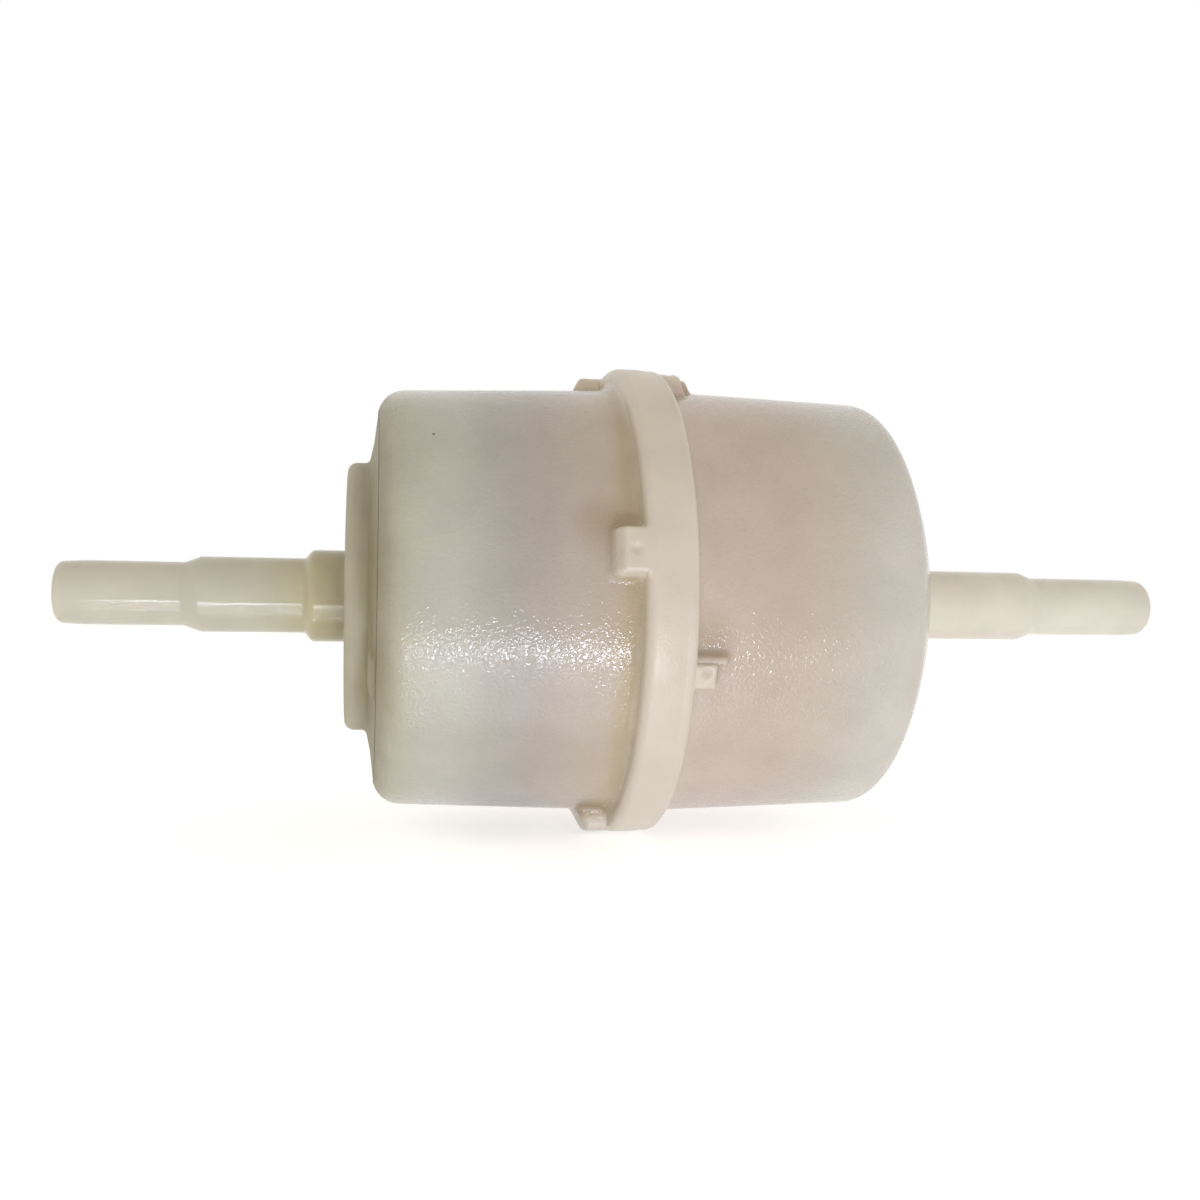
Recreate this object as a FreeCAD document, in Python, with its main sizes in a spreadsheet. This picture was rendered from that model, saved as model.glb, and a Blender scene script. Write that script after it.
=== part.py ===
import FreeCAD, Part
import math
import os
from types import SimpleNamespace

import Sketcher

# In-line fuel filter: two moulded nylon shells spin-welded at a collar round a pleated paper element.
# The flow axis is X, with the inlet at -X and the outlet at +X. The origin is on the axis at the collar.

doc = FreeCAD.newDocument("fuel_filter")
sheet = doc.addObject("Spreadsheet::Sheet", "Sizes")

SIZES = [
    # collar, where the two shells are welded
    ("weld_x", 1.0, "weld face, from the origin"),
    ("wall", 2.0, "shell wall thickness"),
    ("ring_width", 4.0, "inlet shell: width of the collar ring"),
    ("ring_height", 2.4, "inlet shell: collar ring over the body"),
    ("band_width", 1.1, "outlet shell: width of the collar band"),
    ("band_drop", 0.1, "outlet shell: collar band below the ring"),
    ("collar_edge", 0.4, "rounding of the collar's outer edges"),
    ("collar_root", 0.8, "rounding where a shell meets the collar"),
    ("tongue_width", 1.2, "weld tongue thickness"),
    ("tongue_length", 1.8, "weld tongue length"),
    ("tongue_gap", 0.3, "clearance round the weld tongue"),
    # inlet shell
    ("fuel_gap", 0.45, "least gap between the end cap and the wall"),
    ("inlet_draft", 1.05, "how much the body widens towards the collar"),
    ("chamber", 10.8, "from the closed end cap to the end corner"),
    ("inlet_corner", 3.0, "rounding of the end corner"),
    ("face_rise", 1.3, "how far the end face stands out beside the disc"),
    ("disc_r", 14.7, "stiffening disc radius"),
    ("disc_height", 2.3, "stiffening disc thickness"),
    ("disc_edge", 1.0, "rounding of the disc"),
    ("boss_r", 5.05, "nipple boss radius"),
    ("boss_height", 4.1, "nipple boss length"),
    ("boss_edge", 0.8, "rounding of the boss"),
    ("inlet_thick_length", 11.3, "thick part of the inlet nipple"),
    ("inlet_thin_length", 13.0, "thin part of the inlet nipple"),
    ("pad_phase", -23.5, "small pad on the end face: angle from the front, degrees"),
    ("pad_width", 4.8, "end face pad width"),
    ("pad_height", 3.2, "end face pad, radial length"),
    ("pad_proud", 0.45, "end face pad height over the end face"),
    ("pad_inset", 2.25, "end face pad, in from the end corner"),
    # outlet shell
    ("outlet_step_up", 0.15, "how much wider it is than the inlet shell at the collar"),
    ("outlet_draft", 0.6, "how much the body widens towards the collar"),
    ("dome_web", 4.6, "from the bottom of the socket to the top of the dome"),
    ("dome_r", 42.0, "dome crown radius"),
    ("outlet_corner", 2.4, "rounding of the dome corner"),
    ("outlet_thick_length", 15.3, "thick part of the outlet nipple, from the top of the dome"),
    ("outlet_thin_length", 14.9, "thin part of the outlet nipple"),
    ("nipple_root", 0.5, "rounding at the nipple root"),
    # both nipples
    ("step_edge", 1.0, "rounding of both ends of the nipple's cone"),
    ("thick_r", 4.1, "nipple radius for the larger hose"),
    ("thin_r", 3.45, "nipple radius for the smaller hose"),
    ("step_length", 1.7, "cone between the two nipple radii"),
    ("lead_length", 3.0, "slight taper behind the tip"),
    ("lead_drop", 0.15, "how much the taper narrows the tip"),
    ("tip_edge", 0.8, "rounding of the tip"),
    ("bore_r", 2.4, "fuel bore radius"),
    # drive lugs of the spin weld
    ("lug_count", 4, "lugs on each shell"),
    ("lug_drop", 0.2, "top of each lug below the ring or the band"),
    ("lug_width", 5.3, "inlet lug width"),
    ("lug_reach", 7.8, "inlet lug foot, from the weld face"),
    ("lug_slope", 1.0, "how far the lug's end leans back"),
    ("inlet_lug_phase", 11.0, "first inlet lug: angle from the front, degrees"),
    ("outlet_lug_width", 2.9, "outlet lug width"),
    ("outlet_lug_reach", 3.9, "outlet lug foot, from the weld face"),
    ("outlet_lug_slope", 0.5, "how far the outlet lug's end leans back"),
    ("outlet_lug_phase", 16.5, "first outlet lug: angle from the back, degrees"),
    ("ledge_reach", 4.9, "thin ledge beside the outlet lug, from the weld face"),
    ("ledge_width", 1.0, "ledge width"),
    ("ledge_drop", 1.1, "ledge top below the lug top"),
    ("dent_r", 0.75, "radius of the ball that dents each lug"),
    ("dent_depth", 0.3, "dent depth"),
    ("dent_at", 5.1, "dent in the inlet lugs, from the weld face"),
    ("outlet_dent_at", 2.6, "dent in the outlet lugs, from the weld face"),
    # filter element, along X in the part's frame
    ("element_start", -17.0, "outer face of the closed end cap"),
    ("element_length", 39.0, "over both end caps"),
    ("cap_r", 20.2, "end cap radius"),
    ("cap_plate", 1.5, "end cap plate thickness"),
    ("cap_rim", 0.8, "end cap rim thickness"),
    ("cap_skirt", 2.6, "end cap rim height over the plate"),
    ("pilot_height", 1.6, "pilot inside the centre tube"),
    ("pilot_gap", 0.2, "clearance of the pilot in the centre tube"),
    ("potting_height", 1.2, "adhesive layer between cap and paper"),
    ("potting_gap", 0.1, "gap beside the adhesive layer"),
    ("seam_phase", -75.0, "turn of the paper's side seam from the top, degrees"),
    ("tube_r", 8.0, "centre tube radius"),
    ("tube_wall", 1.2, "centre tube wall"),
    ("window_length", 4.2, "centre tube window, along the axis"),
    ("window_width", 3.4, "centre tube window, across"),
    ("window_rows", 5, "windows along the tube"),
    ("window_ring", 6, "windows round the tube"),
    ("pleat_count", 30, "pleats of the paper"),
    ("pleat_gap", 0.5, "pleat tips inside the end cap's rim"),
    ("pleat_foot_gap", 1.0, "pleat roots over the centre tube"),
    ("paper", 0.45, "paper thickness"),
    ("fold_half", 0.65, "half width over a fold"),
    ("clip_metal", 0.3, "seam clip thickness"),
    ("clip_gap", 0.1, "clearance of the clip on its pleat"),
    ("clip_depth", 3.2, "how deep the clip grips the seam pleat"),
    ("clip_inset", 1.9, "clip ends, in from the paper ends"),
    # fins and socket that hold the element
    ("fin_count", 4, "locating fins in the inlet shell"),
    ("fin_width", 1.4, "fin thickness"),
    ("fin_grip", 4.2, "how far the fins reach in over the end cap"),
    ("fin_phase", 45.0, "first fin, degrees"),
    ("fin_gap", 0.2, "clearance from the fins to the closed end cap"),
    ("fin_sink", 0.5, "how far the fins run into the wall"),
    ("spigot_r", 5.6, "spigot of the open end cap"),
    ("spigot_length", 6.0, "spigot length"),
    ("spigot_bore_r", 3.4, "bore of the open end cap"),
    ("socket_gap", 0.4, "clearance of the spigot in its socket"),
    ("socket_wall", 2.2, "socket wall"),
    ("socket_bottom_gap", 0.6, "clearance past the end of the spigot"),
    ("seal_cord_r", 0.65, "half the seal's cord diameter"),
    ("seal_gap", 0.05, "room between the seal and its seats"),
    ("seal_at", 2.6, "seal, from the outer face of the open end cap"),
    ("seal_side_gap", 0.4, "room on each side of the seal"),
]

for row, (name, value, note) in enumerate(SIZES, start=1):
    sheet.set(f"A{row}", name)
    sheet.set(f"B{row}", str(value))
    sheet.set(f"C{row}", note)
    sheet.setAlias(f"B{row}", name)
doc.recompute()


class Term:
    """A size, or a sum worked out from sizes: its number now, and the expression that gives it."""

    def __init__(self, number, text):
        self.number = number
        self.text = text

    def joined(self, other, sign, number):
        other_text = other.text if isinstance(other, Term) else repr(float(other))
        return Term(number, f"({self.text} {sign} {other_text})")

    def __add__(self, other):
        return self.joined(other, "+", self.number + number_of(other))

    def __sub__(self, other):
        return self.joined(other, "-", self.number - number_of(other))

    def __mul__(self, other):
        return self.joined(other, "*", self.number * number_of(other))

    def __truediv__(self, other):
        return self.joined(other, "/", self.number / number_of(other))

    def __neg__(self):
        return Term(-self.number, f"(-1 * {self.text})")


def number_of(value):
    return value.number if isinstance(value, Term) else float(value)


def sine(angle):
    return Term(math.sin(math.radians(angle.number)), f"sin({angle.text})")


def cosine(angle):
    return Term(math.cos(math.radians(angle.number)), f"cos({angle.text})")


def root(term):
    return Term(math.sqrt(term.number), f"sqrt({term.text})")


S = SimpleNamespace(**{name: Term(float(value), f"Sizes.{name}") for name, value, note in SIZES})

# radii worked outward from the element's end caps
S.inlet_end_r = S.cap_r + S.fuel_gap + S.wall
S.inlet_root_r = S.inlet_end_r + S.inlet_draft
S.ring_r = S.inlet_root_r + S.ring_height
S.band_r = S.ring_r - S.band_drop
S.tongue_r = (S.inlet_root_r - S.wall + S.ring_r) / 2
S.lug_top_r = S.ring_r - S.lug_drop
S.outlet_root_r = S.inlet_root_r + S.outlet_step_up
S.outlet_end_r = S.outlet_root_r - S.outlet_draft
S.outlet_lug_top_r = S.band_r - S.lug_drop
S.pad_edge_r = S.inlet_end_r - S.pad_inset
S.fin_inner_r = S.cap_r - S.fin_grip
S.rim_inner_r = S.cap_r - S.cap_rim
S.pilot_r = S.tube_r - S.tube_wall - S.pilot_gap
S.pleat_outer_r = S.rim_inner_r - S.pleat_gap
S.pleat_inner_r = S.tube_r + S.pleat_foot_gap
S.socket_bore_r = S.spigot_r + S.socket_gap
S.seal_floor_r = S.socket_bore_r - (S.seal_gap + S.seal_cord_r) * 2

# places along the inlet shell, outward from the weld face
S.inlet_end = S.weld_x - S.element_start + S.chamber
S.inlet_face = S.inlet_end + S.face_rise
S.disc_top = S.inlet_face + S.disc_height
S.boss_top = S.disc_top + S.boss_height
S.inlet_step = S.boss_top + S.inlet_thick_length
S.inlet_tip = S.inlet_step + S.step_length + S.inlet_thin_length

# places along the outlet shell, outward from the weld face
S.element_end = S.element_start + S.element_length
S.socket_mouth = S.element_end - S.weld_x
S.socket_bottom = S.socket_mouth + S.spigot_length + S.socket_bottom_gap
S.dome_top = S.socket_bottom + S.dome_web
S.outlet_step = S.dome_top + S.outlet_thick_length
S.outlet_tip = S.outlet_step + S.step_length + S.outlet_thin_length

# places along the element, in the part's frame
S.tube_start = S.element_start + S.cap_plate
S.tube_length = S.element_length - S.cap_plate * 2
S.paper_start = S.tube_start + S.potting_height
S.paper_length = S.tube_length - S.potting_height * 2
S.paper_end = S.paper_start + S.paper_length


def bind(thing, target, value):
    """Ties a property to a size, or sets it when the value is a plain number."""
    if isinstance(value, Term):
        thing.setExpression(target, value.text)
    else:
        setattr(thing, target, value)


def new_body(label, x=None, turn=None, turn_axis=(1, 0, 0)):
    """A body with its own label, placed along the axis and turned by a bound angle or a fixed one."""
    body = doc.addObject("PartDesign::Body", label)
    body.Label = label
    angle = number_of(turn) if turn is not None else 0.0
    rotation = FreeCAD.Rotation(FreeCAD.Vector(*turn_axis), angle)
    body.Placement = FreeCAD.Placement(FreeCAD.Vector(0, 0, 0), rotation)
    if x is not None:
        body.setExpression("Placement.Base.x", x.text)
    if isinstance(turn, Term):
        body.setExpression("Placement.Rotation.Angle", turn.text)
    return body


def origin_part(body, role):
    """One of the body's own origin planes or axes."""
    return next(item for item in body.Origin.OriginFeatures if item.Role == role)


def new_sketch(body, name, role, phase=None, lift=None):
    """A sketch on one of the body's origin planes, turned about X by a phase or lifted off the plane."""
    sketch = body.newObject("Sketcher::SketchObject", name)
    sketch.AttachmentSupport = [(origin_part(body, role), "")]
    sketch.MapMode = "FlatFace"
    if phase is not None:
        rotation = FreeCAD.Rotation(FreeCAD.Vector(1, 0, 0), phase.number)
        sketch.AttachmentOffset = FreeCAD.Placement(FreeCAD.Vector(0, 0, 0), rotation)
        sketch.setExpression("AttachmentOffset.Rotation.Angle", phase.text)
    if lift is not None:
        sketch.setExpression("AttachmentOffset.Base.z", lift.text)
    return sketch


def place_point(sketch, edge, end, point):
    """Ties one sketch point to its two coordinates."""
    for kind, other_axis, value in (("DistanceX", -2, point[0]), ("DistanceY", -1, point[1])):
        if not isinstance(value, Term):
            sketch.addConstraint(Sketcher.Constraint("PointOnObject", edge, end, other_axis))
            continue
        index = sketch.addConstraint(Sketcher.Constraint(kind, -1, 1, edge, end, value.number))
        sketch.setExpression(f"Constraints[{index}]", value.text)


def outline(sketch, points, crowns=()):
    """A closed outline. A crown names the point whose following side is an arc centred on X."""
    spots = [FreeCAD.Vector(number_of(x), number_of(y), 0) for x, y in points]
    starts = []
    ends = []
    for index, spot in enumerate(spots):
        following = spots[(index + 1) % len(spots)]
        if index not in crowns:
            edge = sketch.addGeometry(Part.LineSegment(spot, following), False)
            starts.append((edge, 1))
            ends.append((edge, 2))
            continue
        middle = (following.x**2 + following.y**2 - spot.x**2 - spot.y**2) / (2 * (following.x - spot.x))
        centre = FreeCAD.Vector(middle, 0, 0)
        angles = [math.atan2(p.y, p.x - middle) for p in (spot, following)]
        circle = Part.Circle(centre, FreeCAD.Vector(0, 0, 1), (spot - centre).Length)
        edge = sketch.addGeometry(Part.ArcOfCircle(circle, min(angles), max(angles)), False)
        forward = angles[1] > angles[0]
        starts.append((edge, 1 if forward else 2))
        ends.append((edge, 2 if forward else 1))
        sketch.addConstraint(Sketcher.Constraint("PointOnObject", edge, 3, -1))
    for index, point in enumerate(points):
        edge, end = starts[index]
        before, before_end = ends[index - 1]
        sketch.addConstraint(Sketcher.Constraint("Coincident", before, before_end, edge, end))
        place_point(sketch, edge, end, point)


def turned(body, name, points, crowns=(), cut=False):
    """A profile in the XY plane revolved about X, added to the body or cut from it."""
    sketch = new_sketch(body, f"{name}_profile", "XY_Plane")
    outline(sketch, points, crowns)
    feature = body.newObject("PartDesign::Groove" if cut else "PartDesign::Revolution", name)
    feature.Profile = sketch
    feature.ReferenceAxis = (sketch, ["H_Axis"])
    feature.Angle = 360
    body.Tip = feature
    doc.recompute()
    return feature


def padded(body, name, sketch, length, both_sides=False, backwards=False):
    """A sketch given a thickness."""
    pad = body.newObject("PartDesign::Pad", name)
    pad.Profile = sketch
    pad.SideType = "Symmetric" if both_sides else "One side"
    pad.Reversed = backwards
    bind(pad, "Length", length)
    body.Tip = pad
    doc.recompute()
    return pad


def rounded(body, name, radius, rims):
    """Rounds the circles on the axis that have these places and radii; a place of None takes any."""
    base = body.Tip
    names = []
    for index, edge in enumerate(base.Shape.Edges, start=1):
        if not isinstance(edge.Curve, Part.Circle):
            continue
        centre = edge.Curve.Center
        if math.hypot(centre.y, centre.z) > 0.001:
            continue
        for place, rim_r in rims:
            right_place = place is None or abs(centre.x - number_of(place)) < 0.001
            if right_place and abs(edge.Curve.Radius - rim_r.number) < 0.001:
                names.append(f"Edge{index}")
    if len(names) < len(rims):
        raise ValueError(f"{body.Label}: {name} found {len(names)} of {len(rims)} edges")
    fillet = body.newObject("PartDesign::Fillet", name)
    fillet.Base = (base, names)
    bind(fillet, "Radius", radius)
    body.Tip = fillet
    doc.recompute()


def repeated(body, name, originals, count):
    """Features repeated evenly round X."""
    pattern = body.newObject("PartDesign::PolarPattern", name)
    pattern.Originals = originals
    pattern.Axis = (origin_part(body, "X_Axis"), [""])
    pattern.Angle = 360
    bind(pattern, "Occurrences", count)
    body.Tip = pattern
    doc.recompute()


def lug_set(body, phase, foot_r, root_r, top_r, start, reach, slope, width, dent_at):
    """One drive lug with a slightly leaning end and a small dent in its top."""
    sketch = new_sketch(body, "lug_side", "XY_Plane", phase)
    points = [
        (start, foot_r),
        (start, top_r),
        (reach - slope, top_r),
        (reach, root_r),
        (reach, foot_r),
    ]
    outline(sketch, points)
    lug = padded(body, "lug", sketch, width, both_sides=True)
    dent = body.newObject("PartDesign::SubtractiveSphere", "lug_dent")
    bind(dent, "Radius", S.dent_r)
    dent_centre_r = top_r + S.dent_r - S.dent_depth
    dent.setExpression("Placement.Base.x", dent_at.text)
    dent.setExpression("Placement.Base.y", (dent_centre_r * cosine(phase)).text)
    dent.setExpression("Placement.Base.z", (dent_centre_r * sine(phase)).text)
    body.Tip = dent
    doc.recompute()
    return [lug, dent]


def nipple(step, tip):
    """The outside of a stepped hose nipple, from its thick part to the bore at its tip."""
    return [
        (step, S.thick_r),
        (step + S.step_length, S.thin_r),
        (tip - S.lead_length, S.thin_r),
        (tip, S.thin_r - S.lead_drop),
        (tip, S.bore_r),
    ]


def make_inlet_shell():
    """Inlet half of the housing, built outward from the weld face and turned to point at -X."""
    body = new_body("inlet_shell", S.weld_x, 180.0, (0, 0, 1))
    inner_face = S.inlet_face - S.wall
    points = [
        (0, S.inlet_root_r - S.wall),
        (0, S.ring_r),
        (S.ring_width, S.ring_r),
        (S.ring_width, S.inlet_root_r),
        (S.inlet_end, S.inlet_end_r),
        (S.inlet_face, S.disc_r),
        (S.disc_top, S.disc_r),
        (S.disc_top, S.boss_r),
        (S.boss_top, S.boss_r),
        (S.boss_top, S.thick_r),
        *nipple(S.inlet_step, S.inlet_tip),
        (inner_face, S.bore_r),
        (S.inlet_end - S.wall, S.inlet_end_r - S.wall),
    ]
    turned(body, "shell", points)
    rounded(body, "corner", S.inlet_corner, [(S.inlet_end, S.inlet_end_r)])
    rounded(body, "disc_rim", S.disc_edge, [(S.disc_top, S.disc_r)])
    rounded(body, "boss_rim", S.boss_edge, [(S.boss_top, S.boss_r)])
    rounded(body, "collar_rim", S.collar_edge, [(S.ring_width, S.ring_r)])
    roots = [(S.ring_width, S.inlet_root_r), (S.inlet_face, S.disc_r)]
    rounded(body, "roots", S.collar_root, roots)
    finish_nipple(body, S.inlet_step, S.inlet_tip)

    lugs = lug_set(
        body,
        phase=S.inlet_lug_phase,
        foot_r=S.inlet_root_r - S.wall / 2,
        root_r=S.inlet_root_r,
        top_r=S.lug_top_r,
        start=S.ring_width / 2,
        reach=S.lug_reach,
        slope=S.lug_slope,
        width=S.lug_width,
        dent_at=S.dent_at,
    )
    repeated(body, "lugs", lugs, S.lug_count)

    # fins inside, which keep the element's closed end on the axis
    fin_start = S.weld_x - S.element_start + S.fin_gap
    fin_end = S.inlet_end - S.wall + S.fin_sink
    fin_outer_r = S.inlet_end_r - S.wall + S.fin_sink
    fin_sketch = new_sketch(body, "fin_side", "XY_Plane", S.fin_phase)
    fin_points = [
        (fin_start, S.fin_inner_r),
        (fin_start, fin_outer_r),
        (fin_end, fin_outer_r),
        (fin_end, S.fin_inner_r),
    ]
    outline(fin_sketch, fin_points)
    fin = padded(body, "fin", fin_sketch, S.fin_width, both_sides=True)
    repeated(body, "fins", [fin], S.fin_count)

    # small raised pad near the rim of the end face, whose top follows the face
    lean = (S.inlet_face - S.inlet_end) / (S.inlet_end_r - S.disc_r)
    pad_inner_r = S.pad_edge_r - S.pad_height
    pad_foot = S.inlet_end - S.wall / 2
    top_at_edge = S.inlet_end + lean * (S.inlet_end_r - S.pad_edge_r) + S.pad_proud
    top_at_inner = S.inlet_end + lean * (S.inlet_end_r - pad_inner_r) + S.pad_proud
    pad_sketch = new_sketch(body, "pad_side", "XY_Plane", S.pad_phase)
    pad_points = [
        (pad_foot, pad_inner_r),
        (pad_foot, S.pad_edge_r),
        (top_at_edge, S.pad_edge_r),
        (top_at_inner, pad_inner_r),
    ]
    outline(pad_sketch, pad_points)
    padded(body, "end_pad", pad_sketch, S.pad_width, both_sides=True)

    # annular groove in the weld face, for the other shell's tongue
    groove_inner_r = S.tongue_r - S.tongue_width / 2 - S.tongue_gap
    groove_outer_r = S.tongue_r + S.tongue_width / 2 + S.tongue_gap
    groove_depth = S.tongue_length + S.tongue_gap
    whole = body.Tip.Shape.Volume
    groove_points = [
        (0, groove_inner_r),
        (0, groove_outer_r),
        (groove_depth, groove_outer_r),
        (groove_depth, groove_inner_r),
    ]
    turned(body, "weld_groove", groove_points, cut=True)
    if body.Tip.Shape.Volume > whole - 1:
        raise ValueError("the weld groove cut nothing")
    return body


def finish_nipple(body, step, tip):
    """Rounds the step and the tip of a hose nipple."""
    rounded(body, "step_foot", S.step_edge, [(step, S.thick_r)])
    rounded(body, "step_head", S.step_edge, [(step + S.step_length, S.thin_r)])
    rounded(body, "tip_rim", S.tip_edge, [(tip, S.thin_r - S.lead_drop)])


def make_outlet_shell():
    """Outlet half of the housing, with a domed end and the socket that takes the element's spigot."""
    body = new_body("outlet_shell", S.weld_x)
    crown_centre = S.dome_top - S.dome_r
    inner_dome_r = S.dome_r - S.wall
    inner_end_r = S.outlet_end_r - S.wall
    socket_outer_r = S.socket_bore_r + S.socket_wall

    def on_dome(dome_r, at_r):
        return crown_centre + root(dome_r * dome_r - at_r * at_r)

    points = [
        (0, S.outlet_root_r - S.wall),
        (0, S.tongue_r - S.tongue_width / 2),
        (-S.tongue_length, S.tongue_r - S.tongue_width / 2),
        (-S.tongue_length, S.tongue_r + S.tongue_width / 2),
        (0, S.tongue_r + S.tongue_width / 2),
        (0, S.band_r),
        (S.band_width, S.band_r),
        (S.band_width, S.outlet_root_r),
        (on_dome(S.dome_r, S.outlet_end_r), S.outlet_end_r),
        (on_dome(S.dome_r, S.thick_r), S.thick_r),
        *nipple(S.outlet_step, S.outlet_tip),
        (S.socket_bottom, S.bore_r),
        (S.socket_bottom, S.socket_bore_r),
        (S.socket_mouth, S.socket_bore_r),
        (S.socket_mouth, socket_outer_r),
        (on_dome(inner_dome_r, socket_outer_r), socket_outer_r),
        (on_dome(inner_dome_r, inner_end_r), inner_end_r),
    ]
    outer_crown = 8
    inner_crown = len(points) - 2
    turned(body, "shell", points, crowns=(outer_crown, inner_crown))
    rounded(body, "corner", S.outlet_corner, [(None, S.outlet_end_r)])
    rounded(body, "collar_rim", S.collar_edge, [(S.band_width, S.band_r)])
    rounded(body, "collar_root", S.collar_edge, [(S.band_width, S.outlet_root_r)])
    rounded(body, "nipple_foot", S.nipple_root, [(on_dome(S.dome_r, S.thick_r), S.thick_r)])
    finish_nipple(body, S.outlet_step, S.outlet_tip)

    foot_r = S.outlet_root_r - S.wall / 2
    start = S.band_width / 2
    lugs = lug_set(
        body,
        phase=S.outlet_lug_phase,
        foot_r=foot_r,
        root_r=S.outlet_root_r,
        top_r=S.outlet_lug_top_r,
        start=start,
        reach=S.outlet_lug_reach,
        slope=S.outlet_lug_slope,
        width=S.outlet_lug_width,
        dent_at=S.outlet_dent_at,
    )

    # thin ledge along one side of each outlet lug, which reaches a little further
    ledge_top_r = S.outlet_lug_top_r - S.ledge_drop
    ledge_sketch = new_sketch(body, "ledge_side", "XY_Plane", S.outlet_lug_phase)
    ledge_points = [
        (start, foot_r),
        (start, ledge_top_r),
        (S.ledge_reach, ledge_top_r),
        (S.ledge_reach, foot_r),
    ]
    outline(ledge_sketch, ledge_points)
    ledge_length = S.outlet_lug_width / 2 + S.ledge_width
    ledge = padded(body, "ledge", ledge_sketch, ledge_length, backwards=True)
    repeated(body, "lugs", lugs + [ledge], S.lug_count)
    return body


def make_closed_end_cap():
    """Closed cap on the inlet side of the element, with a rim and a pilot for the centre tube."""
    body = new_body("closed_end_cap", S.element_start)
    rim_top = S.cap_plate + S.cap_skirt
    pilot_top = S.cap_plate + S.pilot_height
    points = [
        (0, 0),
        (0, S.cap_r),
        (rim_top, S.cap_r),
        (rim_top, S.rim_inner_r),
        (S.cap_plate, S.rim_inner_r),
        (S.cap_plate, S.pilot_r),
        (pilot_top, S.pilot_r),
        (pilot_top, 0),
    ]
    turned(body, "cap", points)
    return body


def make_open_end_cap():
    """Open cap on the outlet side, with the spigot that carries the element in the outlet shell's socket."""
    body = new_body("open_end_cap", S.element_end)
    rim_top = -(S.cap_plate + S.cap_skirt)
    pilot_top = -(S.cap_plate + S.pilot_height)
    groove_half = S.seal_cord_r + S.seal_side_gap
    points = [
        (pilot_top, S.spigot_bore_r),
        (pilot_top, S.pilot_r),
        (-S.cap_plate, S.pilot_r),
        (-S.cap_plate, S.rim_inner_r),
        (rim_top, S.rim_inner_r),
        (rim_top, S.cap_r),
        (0, S.cap_r),
        (0, S.spigot_r),
        (S.seal_at - groove_half, S.spigot_r),
        (S.seal_at - groove_half, S.seal_floor_r),
        (S.seal_at + groove_half, S.seal_floor_r),
        (S.seal_at + groove_half, S.spigot_r),
        (S.spigot_length, S.spigot_r),
        (S.spigot_length, S.spigot_bore_r),
    ]
    turned(body, "cap", points)
    return body


def make_outlet_seal():
    """Rubber ring in the spigot's groove, which seals it in the socket."""
    ring = doc.addObject("Part::Torus", "outlet_seal")
    ring.Label = "outlet_seal"
    ring.Placement.Rotation = FreeCAD.Rotation(FreeCAD.Vector(0, 1, 0), 90)
    ring.setExpression("Placement.Base.x", (S.element_end + S.seal_at).text)
    bind(ring, "Radius1", S.seal_floor_r + S.seal_gap + S.seal_cord_r)
    bind(ring, "Radius2", S.seal_cord_r)
    return ring


def make_centre_tube():
    """Moulded tube that keeps the paper from collapsing, with rows of windows for the fuel."""
    body = new_body("centre_tube", S.tube_start)
    points = [
        (0, S.tube_r - S.tube_wall),
        (0, S.tube_r),
        (S.tube_length, S.tube_r),
        (S.tube_length, S.tube_r - S.tube_wall),
    ]
    turned(body, "tube", points)
    rows = int(S.window_rows.number)
    pitch = S.tube_length / S.window_rows
    sketch = new_sketch(body, "window_row", "XY_Plane")
    for row in range(rows):
        middle = pitch * (row + 0.5)
        near = middle - S.window_length / 2
        far = middle + S.window_length / 2
        side = S.window_width / 2
        outline(sketch, [(near, -side), (far, -side), (far, side), (near, side)])
    whole = body.Tip.Shape.Volume
    windows = body.newObject("PartDesign::Pocket", "windows")
    windows.Profile = sketch
    windows.Type = "ThroughAll"
    windows.Reversed = True
    body.Tip = windows
    doc.recompute()
    if windows.Shape.Volume > whole - 1:
        raise ValueError("the windows cut nothing")
    repeated(body, "window_rings", [windows], S.window_ring)
    return body


def make_potting(label, x):
    """Layer of adhesive that bonds the paper to an end cap."""
    body = new_body(label, x)
    inner_r = S.tube_r + S.potting_gap
    outer_r = S.rim_inner_r - S.potting_gap
    points = [(0, inner_r), (0, outer_r), (S.potting_height, outer_r), (S.potting_height, inner_r)]
    turned(body, "layer", points)
    return body


def make_filter_paper():
    """Pleated paper: one pleat, from valley to valley, repeated round the axis."""
    body = new_body("filter_paper", S.paper_start, S.seam_phase)
    half_pitch = Term(180.0, "180") / S.pleat_count
    inner_half = S.fold_half - S.paper
    valley_top_r = S.pleat_inner_r + S.paper
    tip_under_r = S.pleat_outer_r - S.paper

    def beside_valley(at_r, aside):
        x = at_r * sine(half_pitch) - aside * cosine(half_pitch)
        y = at_r * cosine(half_pitch) + aside * sine(half_pitch)
        return x, y

    outer_side = [
        (S.pleat_inner_r * sine(half_pitch), S.pleat_inner_r * cosine(half_pitch)),
        (valley_top_r * sine(half_pitch), valley_top_r * cosine(half_pitch)),
        beside_valley(valley_top_r, inner_half),
        (S.fold_half, S.pleat_outer_r),
    ]
    inner_side = [(inner_half, tip_under_r), beside_valley(S.pleat_inner_r, S.fold_half)]
    mirrored_outer = [(-x, y) for x, y in reversed(outer_side)]
    mirrored_inner = [(-x, y) for x, y in reversed(inner_side)]
    sketch = new_sketch(body, "pleat_section", "YZ_Plane")
    outline(sketch, outer_side + mirrored_outer + mirrored_inner + inner_side)
    pleat = padded(body, "pleat", sketch, S.paper_length)
    repeated(body, "pleats", [pleat], S.pleat_count)
    return body


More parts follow.
